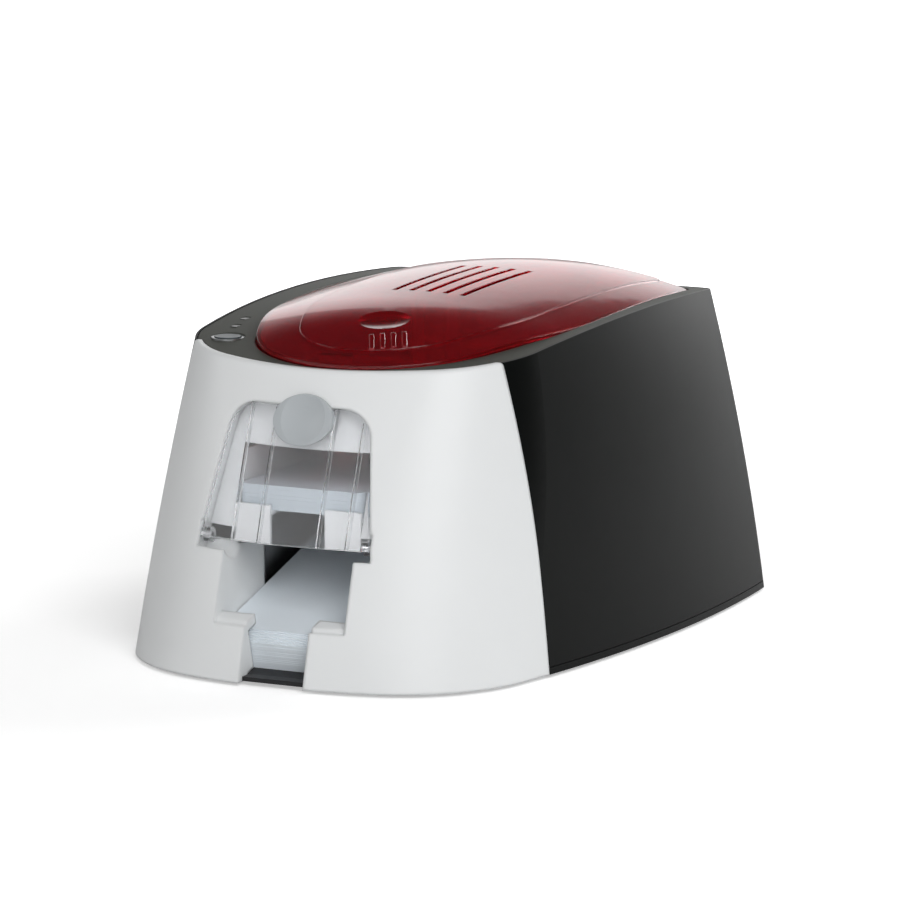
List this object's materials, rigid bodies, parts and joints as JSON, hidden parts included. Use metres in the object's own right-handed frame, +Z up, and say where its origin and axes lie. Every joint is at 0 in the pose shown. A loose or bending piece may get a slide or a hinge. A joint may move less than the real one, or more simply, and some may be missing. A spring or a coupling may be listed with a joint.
{
  "type": "id card printer",
  "caption": "Desktop card printer with a tapering barrel body, a hinged tinted lid, a drop-down feeder flap, an open output bin and geared rollers inside.",
  "frame": {"origin": "centre of the footprint on the surface the printer stands on", "axes": "+Z up, -Y towards the front with the card feeder, +X to the right of a person in front"},
  "size_m": [0.205, 0.2665, 0.1409],
  "materials": {
    "white_plastic": "smooth satin gloss",
    "dark_plastic": "fine satin grain",
    "grey_plastic": "satin",
    "frame_plastic": "matte moulded",
    "tray_plastic": "satin",
    "lid_plastic": "clear red tinted, glossy",
    "clear_plastic": "clear, glossy",
    "tab_plastic": "satin gloss",
    "card_plastic": "smooth card stock",
    "light_window": "milky",
    "steel": "brushed",
    "plated_sheet": "zinc-plated sheet",
    "aluminium": "extruded fins",
    "brass": "turned",
    "roller_rubber": "ground",
    "platen_rubber": "ground",
    "foot_rubber": "matte",
    "tack_rubber": "tacky, smooth",
    "gear_plastic": "moulded, natural",
    "motor_metal": "satin black",
    "ribbon_film": "thin glossy film",
    "spool_plastic": "moulded",
    "board": "solder mask",
    "head_ceramic": "glazed"
  },
  "bodies": {
    "housing": {"base_pan": "dark_plastic", "base_screws": "steel", "button_ring": "plated_sheet", "drive_motor": "motor_metal", "feeder_cards": "card_plastic", "feeder_frame": "tray_plastic", "feeder_tray": "tray_plastic", "flap_pins": "steel", "front_cover": "white_plastic", "hinge_brackets": "plated_sheet", "hinge_pins": "steel", "idler_posts": "steel", "inner_deck": "frame_plastic", "left_side_plate": "plated_sheet", "main_board": "board", "output_cards": "card_plastic", "output_tray": "frame_plastic", "power_inlet": "frame_plastic", "rear_shell": "dark_plastic", "ribbon_cassette": "spool_plastic", "ribbon_motor": "motor_metal", "ribbon_web": "ribbon_film", "right_side_plate": "plated_sheet", "rubber_feet": "foot_rubber", "shaft_bushes": "brass", "status_lights": "light_window", "tie_bars": "steel", "top_bezel": "grey_plastic", "usb_port": "plated_sheet"},
    "lid": {"lid": "lid_plastic", "print_head": "head_ceramic", "head_heatsink": "aluminium", "head_bracket": "plated_sheet"},
    "flap": {"feeder_flap": "clear_plastic", "flap_thumb_tab": "tab_plastic"},
    "power_button": {"power_button": "grey_plastic"},
    "platen": {"platen_roller": "platen_rubber", "platen_shaft": "steel", "platen_gear": "gear_plastic"},
    "front_feed": {"front_feed_roller": "roller_rubber", "front_feed_shaft": "steel", "front_feed_gears": "gear_plastic"},
    "rear_feed": {"rear_feed_roller": "roller_rubber", "rear_feed_shaft": "steel", "rear_feed_gear": "gear_plastic"},
    "pick": {"pick_roller": "roller_rubber", "pick_shaft": "steel", "pick_gear": "gear_plastic"},
    "exit": {"exit_roller": "roller_rubber", "exit_gear": "gear_plastic"},
    "front_idler": {"front_idler_gear": "gear_plastic"},
    "rear_idler": {"rear_idler_gear": "gear_plastic"},
    "left_idler": {"left_idler_gear": "gear_plastic"},
    "motor_rotor": {"motor_pinion": "brass"},
    "cleaning": {"cleaning_roller": "tack_rubber"},
    "supply": {"supply_spool": "ribbon_film"},
    "takeup": {"takeup_spool": "ribbon_film", "takeup_drive": "gear_plastic"},
    "ribbon_rotor": {"ribbon_pinion": "brass"},
    "flipper": {"card_flipper": "frame_plastic"}
  },
  "joints": [
    {"name": "lid_hinge", "type": "hinge", "parent": "housing", "child": "lid", "pos_m": [0, 0.1185, 0.13044], "axis": [-1, 0, 0], "range_deg": [0, 60]},
    {"name": "flap_hinge", "type": "hinge", "parent": "housing", "child": "flap", "pos_m": [-0.0045, -0.1085, 0.0544], "axis": [1, 0, 0], "range_deg": [0, 86]},
    {"name": "button_press", "type": "slide", "parent": "housing", "child": "power_button", "axis": [0, 0, -1], "range_m": [0, 0.001], "stiffness_N_per_m": 300},
    {"name": "platen_spin", "type": "hinge", "parent": "housing", "child": "platen", "pos_m": [0, 0.0185, 0.0589], "axis": [1, 0, 0], "continuous": true},
    {"name": "front_feed_spin", "type": "hinge", "parent": "housing", "child": "front_feed", "pos_m": [0, -0.0055, 0.0589], "axis": [1, 0, 0], "continuous": true},
    {"name": "rear_feed_spin", "type": "hinge", "parent": "housing", "child": "rear_feed", "pos_m": [0, 0.0425, 0.0589], "axis": [1, 0, 0], "continuous": true},
    {"name": "front_idler_spin", "type": "hinge", "parent": "housing", "child": "front_idler", "pos_m": [0, 0.0065, 0.04417], "axis": [1, 0, 0], "continuous": true},
    {"name": "rear_idler_spin", "type": "hinge", "parent": "housing", "child": "rear_idler", "pos_m": [0, 0.0305, 0.04417], "axis": [1, 0, 0], "continuous": true},
    {"name": "exit_spin", "type": "hinge", "parent": "housing", "child": "exit", "pos_m": [0, -0.00953, 0.0385], "axis": [1, 0, 0], "continuous": true},
    {"name": "motor_spin", "type": "hinge", "parent": "housing", "child": "motor_rotor", "pos_m": [0, 0.03438, 0.02968], "axis": [1, 0, 0], "continuous": true},
    {"name": "left_idler_spin", "type": "hinge", "parent": "housing", "child": "left_idler", "pos_m": [0, -0.0205, 0.04895], "axis": [1, 0, 0], "continuous": true},
    {"name": "pick_spin", "type": "hinge", "parent": "housing", "child": "pick", "pos_m": [0, -0.0355, 0.0589], "axis": [1, 0, 0], "continuous": true},
    {"name": "takeup_spin", "type": "hinge", "parent": "housing", "child": "takeup", "pos_m": [0, 0.0525, 0.1012], "axis": [1, 0, 0], "continuous": true},
    {"name": "ribbon_motor_spin", "type": "hinge", "parent": "housing", "child": "ribbon_rotor", "pos_m": [0, 0.0625, 0.08388], "axis": [1, 0, 0], "continuous": true},
    {"name": "supply_spin", "type": "hinge", "parent": "housing", "child": "supply", "pos_m": [0, -0.0155, 0.1012], "axis": [1, 0, 0], "continuous": true},
    {"name": "cleaning_spin", "type": "hinge", "parent": "housing", "child": "cleaning", "pos_m": [0, -0.0055, 0.0713], "axis": [1, 0, 0], "continuous": true},
    {"name": "flipper_tilt", "type": "hinge", "parent": "housing", "child": "flipper", "pos_m": [-0.0018, 0.0895, 0.0656], "axis": [1, 0, 0], "range_deg": [0, 14]}
  ],
  "couplings": [
    {"joint": "front_idler_spin", "follows": "platen_spin", "ratio": -1.1111},
    {"joint": "rear_idler_spin", "follows": "platen_spin", "ratio": -1.1111},
    {"joint": "front_feed_spin", "follows": "platen_spin", "ratio": 1},
    {"joint": "rear_feed_spin", "follows": "platen_spin", "ratio": 1},
    {"joint": "exit_spin", "follows": "platen_spin", "ratio": 1.25},
    {"joint": "motor_spin", "follows": "platen_spin", "ratio": 1.6667},
    {"joint": "left_idler_spin", "follows": "platen_spin", "ratio": -1.25},
    {"joint": "pick_spin", "follows": "platen_spin", "ratio": 1},
    {"joint": "ribbon_motor_spin", "follows": "takeup_spin", "ratio": -2.3333}
  ]
}
